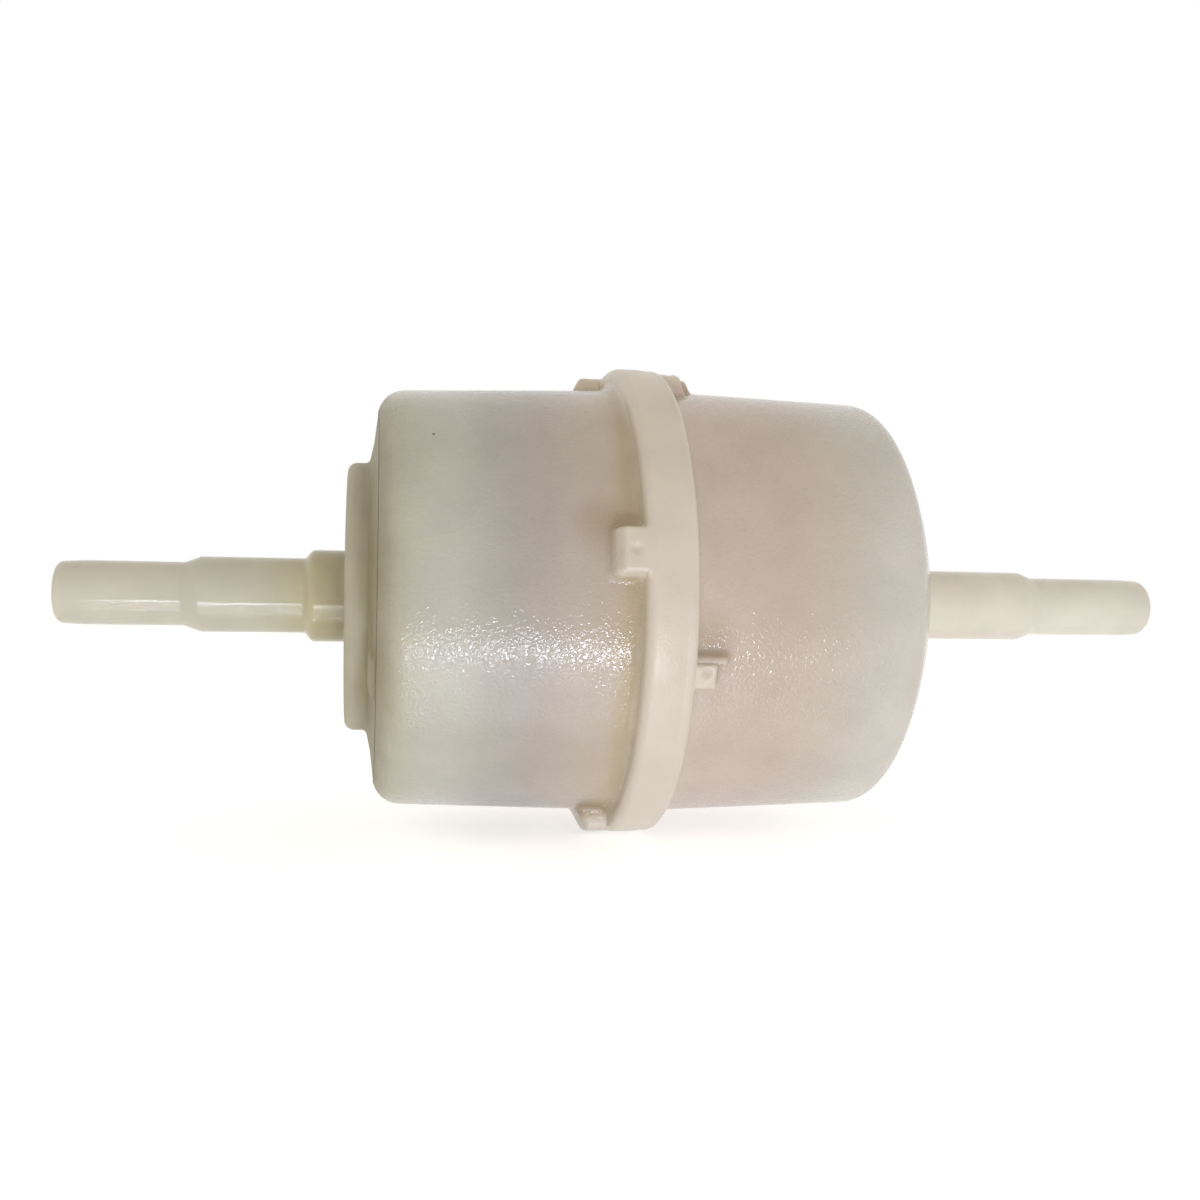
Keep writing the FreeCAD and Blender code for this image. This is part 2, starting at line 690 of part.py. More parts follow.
def make_seam_clip():
    """Thin metal channel that grips the pleat where the two ends of the paper meet."""
    body = new_body("seam_clip", S.paper_start + S.clip_inset, S.seam_phase)
    inner_half = S.fold_half + S.clip_gap
    outer_half = inner_half + S.clip_metal
    inner_top = S.pleat_outer_r + S.clip_gap
    outer_top = inner_top + S.clip_metal
    foot = S.pleat_outer_r - S.clip_depth
    right = [(inner_half, inner_top), (inner_half, foot), (outer_half, foot), (outer_half, outer_top)]
    left = [(-x, y) for x, y in reversed(right)]
    sketch = new_sketch(body, "channel_section", "YZ_Plane")
    outline(sketch, right + left)
    padded(body, "channel", sketch, S.paper_length - S.clip_inset * 2)
    return body


parts = [
    make_inlet_shell(),
    make_outlet_shell(),
    make_closed_end_cap(),
    make_open_end_cap(),
    make_outlet_seal(),
    make_centre_tube(),
    make_potting("closed_end_potting", S.tube_start),
    make_potting("open_end_potting", S.paper_end),
    make_filter_paper(),
    make_seam_clip(),
]

doc.recompute()
for item in doc.Objects:
    if "Invalid" in item.State or "Error" in item.State:
        raise ValueError(f"{item.Label} failed: {item.State}")
for part in parts:
    if part.Shape.isNull() or not part.Shape.isValid() or len(part.Shape.Solids) != 1:
        raise ValueError(f"{part.Label} is not one valid solid")

os.makedirs("parts", exist_ok=True)
for part in parts:
    part.Shape.exportStep(f"parts/{part.Label}.step")
    box = part.Shape.BoundBox
    print(f"{part.Label}: {part.Shape.Volume:.1f} mm3, x {box.XMin:.2f} to {box.XMax:.2f}, r {box.ZMax:.2f}")
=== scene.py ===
import math

import bmesh
import bpy
from mathutils import Matrix, Vector


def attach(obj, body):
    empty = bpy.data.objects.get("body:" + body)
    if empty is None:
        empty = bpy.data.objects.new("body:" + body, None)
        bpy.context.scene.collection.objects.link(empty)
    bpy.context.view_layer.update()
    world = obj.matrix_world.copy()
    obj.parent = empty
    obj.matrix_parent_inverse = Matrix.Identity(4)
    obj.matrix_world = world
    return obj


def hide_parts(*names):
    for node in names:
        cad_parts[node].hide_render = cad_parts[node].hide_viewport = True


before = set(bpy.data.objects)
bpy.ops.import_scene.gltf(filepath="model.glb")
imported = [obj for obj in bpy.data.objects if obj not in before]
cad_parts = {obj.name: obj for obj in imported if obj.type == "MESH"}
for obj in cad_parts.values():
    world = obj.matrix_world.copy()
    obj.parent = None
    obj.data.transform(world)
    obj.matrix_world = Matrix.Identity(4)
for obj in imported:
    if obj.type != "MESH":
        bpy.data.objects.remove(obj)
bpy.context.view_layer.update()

# Filter paper. The real one is a resin-treated cellulose sheet, folded into thirty pleats that
# stand on the centre tube. It goes together first, with its side seam closed.
MM = 0.001


def linear(hex_colour):
    """sRGB hex, such as "C8BBA8", to the linear colour that a shader takes."""
    parts = [int(hex_colour[i : i + 2], 16) / 255 for i in (0, 2, 4)]
    return tuple(v / 12.92 if v <= 0.04045 else ((v + 0.055) / 1.055) ** 2.4 for v in parts) + (1,)


def add(tree, kind, *values, **settings):
    """Adds a node, sets its properties, and fills its inputs in order, or by name from a dict."""
    node = tree.nodes.new(kind)
    for name, value in settings.items():
        setattr(node, name, value)
    free = [s for s in node.inputs if s.enabled]
    named = values[0] if values and isinstance(values[0], dict) else {}
    pairs = [(next(s for s in free if s.name == k), v) for k, v in named.items()]
    for socket, value in pairs or zip(free, values):
        if isinstance(value, bpy.types.Node):
            value = next(s for s in value.outputs if s.enabled)
        if isinstance(value, bpy.types.NodeSocket):
            tree.links.new(value, socket)
        elif value is not None:
            socket.default_value = value
    return node


def new_material(name):
    """An empty node material, with its tree."""
    material = bpy.data.materials.new(name)
    material.use_nodes = True
    material.node_tree.nodes.clear()
    return material, material.node_tree


def coat(material, *names):
    """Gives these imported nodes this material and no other."""
    for name in names:
        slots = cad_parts[name].data.materials
        slots.clear()
        slots.append(material)


# Cellulose paper with phenolic resin: matt, tan, with fibres about 0.4 mm long.
paper, tree = new_material("resin-treated cellulose paper")
place = add(tree, "ShaderNodeTexCoord").outputs["Object"]
fibres = add(tree, "ShaderNodeTexNoise", {"Vector": place, "Scale": 2500.0, "Detail": 4.0})
tone = add(tree, "ShaderNodeValToRGB", fibres)
tone.color_ramp.elements[0].position = 0.3
tone.color_ramp.elements[0].color = linear("B98F55")
tone.color_ramp.elements[1].position = 0.7
tone.color_ramp.elements[1].color = linear("D9BC8C")
relief = add(tree, "ShaderNodeBump", {"Height": fibres, "Strength": 0.4, "Distance": 0.1 * MM})
skin = add(
    tree,
    "ShaderNodeBsdfPrincipled",
    {"Base Color": tone, "Roughness": 0.9, "IOR": 1.47, "Normal": relief},
)
add(tree, "ShaderNodeOutputMaterial", skin)
coat(paper, "filter_paper")

# Seam clip. A channel rolled from thin tinned steel strip, which is pressed over the paper's two
# end pleats and holds the side seam shut.
# Tinned steel: bright, with fine rolling marks along the strip, about 0.15 mm apart.
tinned, tree = new_material("rolled tinned steel")
place = add(tree, "ShaderNodeTexCoord").outputs["Object"]
along = add(tree, "ShaderNodeMapping", {"Vector": place, "Scale": (0.03, 1.0, 1.0)})
marks = add(tree, "ShaderNodeTexNoise", {"Vector": along, "Scale": 6600.0, "Detail": 2.0})
gloss = add(tree, "ShaderNodeMapRange", marks, 0.3, 0.7, 0.22, 0.4)
relief = add(tree, "ShaderNodeBump", {"Height": marks, "Strength": 0.2, "Distance": 0.02 * MM})
skin = add(
    tree,
    "ShaderNodeBsdfPrincipled",
    {"Base Color": linear("C6C5C0"), "Metallic": 1.0, "Roughness": gloss, "Normal": relief},
)
add(tree, "ShaderNodeOutputMaterial", skin)
coat(tinned, "seam_clip")

# Centre tube and the two end caps. Injection moulded in filled polyamide. The tube stands inside
# the pleats, and each cap closes one end of the element.
# Moulded polyamide: tan, satin, with a fine mould grain of about 0.25 mm.
moulded, tree = new_material("moulded tan polyamide")
place = add(tree, "ShaderNodeTexCoord").outputs["Object"]
grain = add(tree, "ShaderNodeTexNoise", {"Vector": place, "Scale": 4000.0, "Detail": 2.0})
cloud = add(tree, "ShaderNodeTexNoise", {"Vector": place, "Scale": 150.0, "Detail": 2.0})
tone = add(tree, "ShaderNodeMix", cloud, linear("B59C86"), linear("C4AE98"), data_type="RGBA")
relief = add(tree, "ShaderNodeBump", {"Height": grain, "Strength": 0.3, "Distance": 0.02 * MM})
skin = add(
    tree,
    "ShaderNodeBsdfPrincipled",
    {"Base Color": tone, "Roughness": 0.5, "IOR": 1.53, "Normal": relief},
)
add(tree, "ShaderNodeOutputMaterial", skin)
coat(moulded, "centre_tube", "closed_end_cap", "open_end_cap")

# Adhesive layers. Poured polyurethane, which sets round the ends of the pleats and bonds them to
# the caps.
# Cast polyurethane: pale amber and glossy, with a gently wavy free surface, waves of about 5 mm.
adhesive, tree = new_material("cast polyurethane adhesive")
place = add(tree, "ShaderNodeTexCoord").outputs["Object"]
waves = add(tree, "ShaderNodeTexNoise", {"Vector": place, "Scale": 200.0, "Detail": 1.0})
tone = add(tree, "ShaderNodeMix", waves, linear("C9A877"), linear("DCC29A"), data_type="RGBA")
relief = add(tree, "ShaderNodeBump", {"Height": waves, "Strength": 0.3, "Distance": 0.3 * MM})
skin = add(
    tree,
    "ShaderNodeBsdfPrincipled",
    {"Base Color": tone, "Roughness": 0.25, "IOR": 1.5, "Normal": relief},
)
add(tree, "ShaderNodeOutputMaterial", skin)
coat(adhesive, "closed_end_potting", "open_end_potting")

# Outlet seal. A fuel-resistant nitrile ring, moulded, which sits in the spigot's groove and is
# squeezed by the socket.
# Moulded nitrile rubber: near black, matt, with a dusting of release agent in 1 mm clouds.
nitrile, tree = new_material("moulded nitrile rubber")
place = add(tree, "ShaderNodeTexCoord").outputs["Object"]
dust = add(tree, "ShaderNodeTexNoise", {"Vector": place, "Scale": 1000.0, "Detail": 3.0})
tone = add(tree, "ShaderNodeMix", dust, linear("1C1B1A"), linear("34322F"), data_type="RGBA")
gloss = add(tree, "ShaderNodeMapRange", dust, 0.3, 0.7, 0.45, 0.7)
skin = add(
    tree, "ShaderNodeBsdfPrincipled", {"Base Color": tone, "Roughness": gloss, "IOR": 1.52}
)
add(tree, "ShaderNodeOutputMaterial", skin)
coat(nitrile, "outlet_seal")

# Outlet shell. Injection moulded in natural nylon: one drafted cup with a domed end, a stepped
# hose nipple, the socket that holds the element, and a welding band with four drive lugs.

LUG_COUNT = 4
WELD_X = 1.0 * MM  # the plane where the two shells meet


def ease(tree, value, start, end, first, last):
    """Goes smoothly from first to last while the value goes from start to end."""
    levels = (value, start, end, first, last)
    return add(tree, "ShaderNodeMapRange", *levels, interpolation_type="SMOOTHSTEP")


def turned_outline(corners):
    """Points of a closed half section, in metres, with each corner rounded.

    A corner is (x, radius, rounding, spacing of the points after it, on the outer skin), in mm.
    """
    points = []
    count = len(corners)
    arcs = []
    for i in range(count):
        x, r, rounding = corners[i][:3]
        here = Vector((x, r))
        back = (Vector(corners[i - 1][:2]) - here).normalized()
        ahead = (Vector(corners[(i + 1) % count][:2]) - here).normalized()
        turn = math.pi - back.angle(ahead)
        if rounding == 0 or turn < 0.01:
            arcs.append([here])
            continue
        reach = rounding * math.tan(turn / 2)
        centre = here + (back + ahead).normalized() * (rounding / math.cos(turn / 2))
        first = here + back * reach - centre
        last = here + ahead * reach - centre
        steps = max(3, round(math.degrees(turn) / 12))
        swing = first.angle_signed(last)
        turns = [Matrix.Rotation(-swing * k / steps, 2) for k in range(steps + 1)]
        arcs.append([centre + part @ first for part in turns])
    for i in range(count):
        spacing, outside = corners[i][3:]
        points += [(p, outside) for p in arcs[i]]
        start, end = arcs[i][-1], arcs[(i + 1) % count][0]
        pieces = max(1, round((end - start).length / spacing))
        points += [(start.lerp(end, k / pieces), outside) for k in range(1, pieces)]
    return [((p.x * MM, p.y * MM, 0), outside) for p, outside in points]


def shell_tree():
    """Geometry Nodes tree that turns a half section about X and raises the lugs and the pad."""
    tree = bpy.data.node_groups.new("turned shell", "GeometryNodeTree")
    face = tree.interface
    face.new_socket("Section", in_out="INPUT", socket_type="NodeSocketGeometry")
    for name in ("Section Points", "Steps Round", "Lug Count"):
        face.new_socket(name, in_out="INPUT", socket_type="NodeSocketInt")
    for name in (
        "Weld Face",
        "First Lug",
        "Lug Top",
        "Lug Width",
        "Lug End",
        "Lug Slope",
        "Edge Softness",
        "Dent At",
        "Dent Aside",
        "Dent Radius",
        "Dent Depth",
        "Ledge Top",
        "Ledge Width",
        "Ledge Aside",
        "Ledge End",
        "Pad Angle",
        "Pad Middle",
        "Pad Length",
        "Pad Width",
        "Pad Height",
        "Squeeze",
    ):
        face.new_socket(name, in_out="INPUT", socket_type="NodeSocketFloat")
    face.new_socket("Finish", in_out="INPUT", socket_type="NodeSocketMaterial")
    face.new_socket("Shell", in_out="OUTPUT", socket_type="NodeSocketGeometry")
    given = tree.nodes.new("NodeGroupInput").outputs

    # a grid whose rows run along the section and whose columns run round the axis
    rows = add(tree, "ShaderNodeMath", given["Section Points"], 1.0, operation="ADD")
    columns = add(tree, "ShaderNodeMath", given["Steps Round"], 1.0, operation="ADD")
    grid = add(tree, "GeometryNodeMeshGrid", 1.0, 1.0, rows, columns)
    index = add(tree, "GeometryNodeInputIndex")
    row = add(tree, "FunctionNodeIntegerMath", index, columns, operation="DIVIDE_FLOOR")
    row = add(tree, "FunctionNodeIntegerMath", row, given["Section Points"], operation="MODULO")
    column = add(tree, "FunctionNodeIntegerMath", index, columns, operation="MODULO")
    column = add(tree, "FunctionNodeIntegerMath", column, given["Steps Round"], operation="MODULO")
    spot = add(
        tree,
        "GeometryNodeSampleIndex",
        given["Section"],
        add(tree, "GeometryNodeInputPosition"),
        row,
        data_type="FLOAT_VECTOR",
    )
    spot = add(tree, "ShaderNodeSeparateXYZ", spot)
    x, r = spot.outputs["X"], spot.outputs["Y"]
    outside = add(tree, "GeometryNodeInputNamedAttribute", "outside", data_type="FLOAT")
    outside = add(tree, "GeometryNodeSampleIndex", given["Section"], outside, row, data_type="FLOAT")

    # angle round the axis, with the steps closer together at the lugs
    turn = add(tree, "ShaderNodeMath", column, given["Steps Round"], operation="DIVIDE")
    turn = add(tree, "ShaderNodeMath", turn, math.tau, operation="MULTIPLY")
    beat = add(tree, "ShaderNodeMath", turn, given["Lug Count"], operation="MULTIPLY")
    beat = add(tree, "ShaderNodeMath", beat, operation="SINE")
    beat = add(tree, "ShaderNodeMath", beat, given["Squeeze"], operation="MULTIPLY")
    beat = add(tree, "ShaderNodeMath", beat, given["Lug Count"], operation="DIVIDE")
    beyond = add(tree, "ShaderNodeMath", turn, beat, operation="SUBTRACT")
    angle = add(tree, "ShaderNodeMath", beyond, given["First Lug"], operation="ADD")

    # distance across from the nearest lug, and outward from the weld face
    half_pitch = add(tree, "ShaderNodeMath", math.pi, given["Lug Count"], operation="DIVIDE")
    less = add(tree, "ShaderNodeMath", half_pitch, -1.0, operation="MULTIPLY")
    aside = add(tree, "ShaderNodeMath", beyond, half_pitch, less, operation="WRAP")
    aside = add(tree, "ShaderNodeMath", aside, given["Lug Top"], operation="MULTIPLY")
    out = add(tree, "ShaderNodeMath", x, given["Weld Face"], operation="SUBTRACT")
    out = add(tree, "ShaderNodeMath", out, operation="ABSOLUTE")
    soft = given["Edge Softness"]
    radius = r
    bumps = (
        ("Lug Top", "Lug Width", "Lug End", 0.0),
        ("Ledge Top", "Ledge Width", "Ledge End", given["Ledge Aside"]),
    )
    for top, width, end, shift in bumps:
        half = add(tree, "ShaderNodeMath", given[width], 0.5, operation="MULTIPLY")
        offset = add(tree, "ShaderNodeMath", aside, shift, operation="SUBTRACT")
        offset = add(tree, "ShaderNodeMath", offset, operation="ABSOLUTE")
        inner = add(tree, "ShaderNodeMath", half, soft, operation="SUBTRACT")
        inner = add(tree, "ShaderNodeMath", inner, 0.0, operation="MAXIMUM")
        outer = add(tree, "ShaderNodeMath", half, soft, operation="ADD")
        across = ease(tree, offset, inner, outer, 1.0, 0.0)
        near = add(tree, "ShaderNodeMath", given[end], soft, operation="SUBTRACT")
        near = add(tree, "ShaderNodeMath", near, given["Lug Slope"], operation="SUBTRACT")
        far = add(tree, "ShaderNodeMath", given[end], soft, operation="ADD")
        beside = ease(tree, out, near, far, 1.0, 0.0)
        share = add(tree, "ShaderNodeMath", across, beside, operation="MULTIPLY")
        share = add(tree, "ShaderNodeMath", share, outside, operation="MULTIPLY")
        height = add(tree, "ShaderNodeMath", given[top], r, operation="SUBTRACT")
        height = add(tree, "ShaderNodeMath", height, 0.0, operation="MAXIMUM")
        height = add(tree, "ShaderNodeMath", height, share, r, operation="MULTIPLY_ADD")
        radius = add(tree, "ShaderNodeMath", radius, height, operation="MAXIMUM")

    # a shallow round dent in each lug
    apart = add(tree, "ShaderNodeMath", out, given["Dent At"], operation="SUBTRACT")
    sideways = add(tree, "ShaderNodeMath", aside, given["Dent Aside"], operation="SUBTRACT")
    apart = add(tree, "ShaderNodeCombineXYZ", apart, sideways, 0.0)
    apart = add(tree, "ShaderNodeVectorMath", apart, operation="LENGTH")
    dent = ease(tree, apart, 0.0, given["Dent Radius"], given["Dent Depth"], 0.0)
    dent = add(tree, "ShaderNodeMath", dent, outside, operation="MULTIPLY")
    radius = add(tree, "ShaderNodeMath", radius, dent, operation="SUBTRACT")

    # the raised pad on the end face
    past = add(tree, "ShaderNodeMath", angle, given["Pad Angle"], operation="SUBTRACT")
    past = add(tree, "ShaderNodeMath", past, math.pi, -math.pi, operation="WRAP")
    past = add(tree, "ShaderNodeMath", past, r, operation="MULTIPLY")
    past = add(tree, "ShaderNodeMath", past, operation="ABSOLUTE")
    deep = add(tree, "ShaderNodeMath", r, given["Pad Middle"], operation="SUBTRACT")
    deep = add(tree, "ShaderNodeMath", deep, operation="ABSOLUTE")
    raised = outside
    for distance, size in ((past, "Pad Width"), (deep, "Pad Length")):
        half = add(tree, "ShaderNodeMath", given[size], 0.5, operation="MULTIPLY")
        inner = add(tree, "ShaderNodeMath", half, soft, operation="SUBTRACT")
        inside = ease(tree, distance, inner, half, 1.0, 0.0)
        raised = add(tree, "ShaderNodeMath", raised, inside, operation="MULTIPLY")
    raised = add(tree, "ShaderNodeMath", raised, given["Pad Height"], operation="MULTIPLY")
    x = add(tree, "ShaderNodeMath", x, raised, operation="SUBTRACT")

    # angles are counted from the front, -Y, towards the top, +Z
    forward = add(tree, "ShaderNodeMath", angle, operation="COSINE")
    forward = add(tree, "ShaderNodeMath", forward, radius, operation="MULTIPLY")
    forward = add(tree, "ShaderNodeMath", forward, -1.0, operation="MULTIPLY")
    upward = add(tree, "ShaderNodeMath", angle, operation="SINE")
    upward = add(tree, "ShaderNodeMath", upward, radius, operation="MULTIPLY")
    spot = add(tree, "ShaderNodeCombineXYZ", x, forward, upward)
    shape = add(tree, "GeometryNodeSetPosition", {"Geometry": grid, "Position": spot})
    shape = add(tree, "GeometryNodeMergeByDistance", {"Geometry": shape, "Distance": 1e-6})
    shape = add(tree, "GeometryNodeRealizeInstances", shape)
    shape = add(
        tree, "GeometryNodeSetMaterial", {"Geometry": shape, "Material": given["Finish"]}
    )
    add(tree, "NodeGroupOutput", shape)
    return tree


def turned_shell(name, tree, corners, sizes, finish):
    """One shell as a plain mesh: its section goes through the tree with these sizes."""
    section = turned_outline(corners)
    mesh = bpy.data.meshes.new(name)
    mesh.from_pydata([p for p, _ in section], [], [])
    outside = mesh.attributes.new("outside", "FLOAT", "POINT")
    outside.data.foreach_set("value", [float(flag) for _, flag in section])
    piece = bpy.data.objects.new(name, mesh)
    bpy.context.scene.collection.objects.link(piece)
    modifier = piece.modifiers.new("turned shell", "NODES")
    modifier.node_group = tree
    sizes = {**sizes, "Section Points": len(section), "Finish": finish}
    for item in tree.interface.items_tree:
        if item.in_out == "INPUT" and item.name in sizes:
            modifier[item.identifier] = sizes[item.name]
    bpy.context.view_layer.update()
    graph = bpy.context.evaluated_depsgraph_get()
    plain = bpy.data.meshes.new_from_object(piece.evaluated_get(graph))
    piece.modifiers.remove(modifier)
    piece.data = plain
    shape = bmesh.new()
    shape.from_mesh(plain)
    bmesh.ops.recalc_face_normals(shape, faces=shape.faces)
    shape.to_mesh(plain)
    shape.free()
    plain.polygons.foreach_set("use_smooth", [True] * len(plain.polygons))
    plain.set_sharp_from_angle(angle=math.radians(50))
    plain.name = name
    return piece


def nylon(name, bands, first_lug, lug_at, shadow, solid_from):
    """Natural nylon as it comes from the mould, tinted along X by what lies behind the wall, and on
    the inlet with painted shade.

    bands: (x in mm, colour), first_lug: the first lug's angle in degrees, lug_at: where the painted
    shade beside a lug lies, along X and across the lug, in mm, shadow: how strong it is,
    solid_from: the radius in mm at which the solid nylon of the collar and the lugs begins.
    """
    material, tree = new_material(name)
    place = add(tree, "ShaderNodeTexCoord").outputs["Object"]
    axes = add(tree, "ShaderNodeSeparateXYZ", place)
    first, last = bands[0][0], bands[-1][0]
    # the borders between tints wander by up to half a millimetre
    cloud = add(tree, "ShaderNodeTexNoise", {"Vector": place, "Scale": 130.0, "Detail": 2.0})
    sway = add(tree, "ShaderNodeMapRange", cloud, 0.3, 0.7, -0.4 * MM, 0.4 * MM)
    along = add(tree, "ShaderNodeMath", axes.outputs["X"], sway, operation="ADD")
    along = add(tree, "ShaderNodeMapRange", along, first * MM, last * MM, 0.0, 1.0)
    tint = add(tree, "ShaderNodeValToRGB", along)
    ramp = tint.color_ramp
    ramp.elements[0].color = linear(bands[0][1])
    ramp.elements[1].color = linear(bands[-1][1])
    for x, colour in bands[1:-1]:
        ramp.elements.new((x - first) / (last - first)).color = linear(colour)

    # solid nylon at the collar and the lugs has nothing behind it and stays cream
    across = add(tree, "ShaderNodeCombineXYZ", 0.0, axes.outputs["Y"], axes.outputs["Z"])
    radius = add(tree, "ShaderNodeVectorMath", across, operation="LENGTH").outputs["Value"]
    wall_r, solid_r = solid_from * MM, (solid_from + 0.9) * MM
    solid = add(tree, "ShaderNodeMapRange", radius, wall_r, solid_r, 0.0, 1.0)
    tint = add(tree, "ShaderNodeMix", solid, tint, linear("E2D9CA"), data_type="RGBA")

    # painted shade: a darker patch in the corner beside each lug
    angle = add(
        tree,
        "ShaderNodeMath",
        axes.outputs["Z"],
        add(tree, "ShaderNodeMath", axes.outputs["Y"], -1.0, operation="MULTIPLY"),
        operation="ARCTAN2",
    )
    angle = add(tree, "ShaderNodeMath", angle, math.radians(first_lug), operation="SUBTRACT")
    half_pitch = math.pi / LUG_COUNT
    angle = add(tree, "ShaderNodeMath", angle, half_pitch, -half_pitch, operation="WRAP")
    aside = add(tree, "ShaderNodeMath", angle, radius, operation="MULTIPLY")
    away = add(
        tree,
        "ShaderNodeCombineXYZ",
        add(tree, "ShaderNodeMath", axes.outputs["X"], lug_at[0] * MM, operation="SUBTRACT"),
        add(tree, "ShaderNodeMath", aside, lug_at[1] * MM, operation="SUBTRACT"),
        0.0,
    )
    away = add(tree, "ShaderNodeVectorMath", away, operation="LENGTH").outputs["Value"]
    lug_shade = ease(tree, away, 0.2 * MM, 4.6 * MM, shadow, 0.0)
    body = add(tree, "ShaderNodeMath", 1.0, solid, operation="SUBTRACT")
    lug_shade = add(tree, "ShaderNodeMath", lug_shade, body, operation="MULTIPLY")
    tint = add(tree, "ShaderNodeMix", lug_shade, tint, linear("A8916C"), data_type="RGBA")

    # painted shade: the wall is darker along the top and the bottom, over the element's cap
    edge_shade = add(tree, "ShaderNodeMath", axes.outputs["Z"], operation="ABSOLUTE")
    edge_shade = ease(tree, edge_shade, 20.0 * MM, 23.6 * MM, 0.0, 0.6)
    cap_x, cap_spread = -14.2 * MM, 8.0 * MM
    span = add(tree, "ShaderNodeMath", axes.outputs["X"], cap_x, operation="SUBTRACT")
    span = add(tree, "ShaderNodeMath", span, operation="ABSOLUTE")
    span = ease(tree, span, 0.0, cap_spread, 1.0, 0.0)
    edge_shade = add(tree, "ShaderNodeMath", edge_shade, span, operation="MULTIPLY")
    tint = add(tree, "ShaderNodeMix", edge_shade, tint, linear("8E8278"), data_type="RGBA")

    # milky clouds of about 5 mm, and a few specks of 0.3 mm from the hopper
    milk = add(tree, "ShaderNodeTexNoise", {"Vector": place, "Scale": 190.0, "Detail": 3.0})
    milk = add(tree, "ShaderNodeMapRange", milk, 0.35, 0.65, 0.96, 1.03)
    tint = add(tree, "ShaderNodeVectorMath", tint, milk, operation="MULTIPLY")
    cells = add(tree, "ShaderNodeTexVoronoi", {"Vector": place, "Scale": 110.0})
    speck = add(tree, "ShaderNodeMapRange", cells.outputs["Distance"], 0.012, 0.022, 1.0, 0.0)
    tint = add(tree, "ShaderNodeMix", speck, tint, linear("6E675C"), data_type="RGBA")

    # mould grain of about 0.4 mm on the bodies; the nipples are polished
    grain = add(
        tree,
        "ShaderNodeTexNoise",
        {"Vector": place, "Scale": 2600.0, "Detail": 1.0, "Distortion": 0.6},
    )
    coarse = add(tree, "ShaderNodeMapRange", radius, 15.5 * MM, 21.0 * MM, 0.12, 1.0)
    smooth = add(tree, "ShaderNodeMapRange", solid, 0.0, 1.0, 1.0, 0.45)
    coarse = add(tree, "ShaderNodeMath", coarse, smooth, operation="MULTIPLY")
    grain = add(tree, "ShaderNodeMath", grain, coarse, operation="MULTIPLY")
    relief = add(tree, "ShaderNodeBump", {"Height": grain, "Strength": 1.0, "Distance": 0.066 * MM})
    # the polished nipples are glossier, the collar less so, and the inlet's end face is matt
    gloss = add(tree, "ShaderNodeMapRange", radius, 5.0 * MM, 7.0 * MM, 0.09, 0.15)
    gloss = add(tree, "ShaderNodeMath", solid, 0.18, gloss, operation="MULTIPLY_ADD")
    matt = add(tree, "ShaderNodeMapRange", axes.outputs["X"], -28.4 * MM, -26.0 * MM, 0.4, 0.0)
    far = add(tree, "ShaderNodeMapRange", radius, 5.2 * MM, 6.0 * MM, 0.0, 1.0)
    gloss = add(tree, "ShaderNodeMath", matt, far, gloss, operation="MULTIPLY_ADD")
    # light scatters in the nylon, but little at the weld, where the two halves have fused
    seam = add(tree, "ShaderNodeMath", axes.outputs["X"], WELD_X, operation="SUBTRACT")
    seam = add(tree, "ShaderNodeMath", seam, operation="ABSOLUTE")
    milky = add(tree, "ShaderNodeMapRange", seam, 0.0, 1.5 * MM, 0.0, 0.45)
    skin = add(
        tree,
        "ShaderNodeBsdfPrincipled",
        {
            "Base Color": tint,
            "Roughness": gloss,
            "IOR": 1.53,
            "Subsurface Weight": milky,
            "Subsurface Radius": (1.0, 0.85, 0.65),
            "Subsurface Scale": 1.2 * MM,
            "Normal": relief,
        },
    )
    add(tree, "ShaderNodeOutputMaterial", skin)
    return material


turned_tree = shell_tree()
# fine steps round the axis, drawn together at the lugs
steps_round = {"Steps Round": 480, "Lug Count": LUG_COUNT, "Squeeze": 0.6, "Weld Face": WELD_X}
outlet_first_lug = -16.5
outlet_nylon = nylon(
    "moulded natural nylon, outlet half",
    (
        (-1.0, "E2D8C9"),
        (2.0, "E6DCCD"),
        (2.3, "D6C8B9"),
        (3.0, "D9CBBF"),
        (4.5, "D5C6BA"),
        (12.0, "D2C3B6"),
        (17.0, "D3C8BC"),
        (20.0, "D4CEC3"),
        (24.0, "DAD5CC"),
        (27.5, "D9D5CE"),
        (30.5, "CFCBC8"),
        (32.6, "CFCBC2"),
        (34.0, "E7E2D2"),
        (37.0, "ECE7D7"),
        (50.0, "EBE7DA"),
        (61.0, "EAE7DA"),
        (65.2, "E4E1D4"),
    ),
    first_lug=outlet_first_lug,
    lug_at=(3.4, 3.3),
    shadow=0.35,
    solid_from=24.8,
)
dome_r, cavity_r, dome_top = 42.0, 40.0, 33.2
crown_radii = (6.5, 9.0, 11.5, 14.0, 16.0, 18.0, 19.5, 20.8, 21.6)


def on_dome(r, crown_r):
    """Where a crown of this radius, centred where the dome is, reaches a distance from X."""
    return dome_top - dome_r + math.sqrt(crown_r * crown_r - r * r)


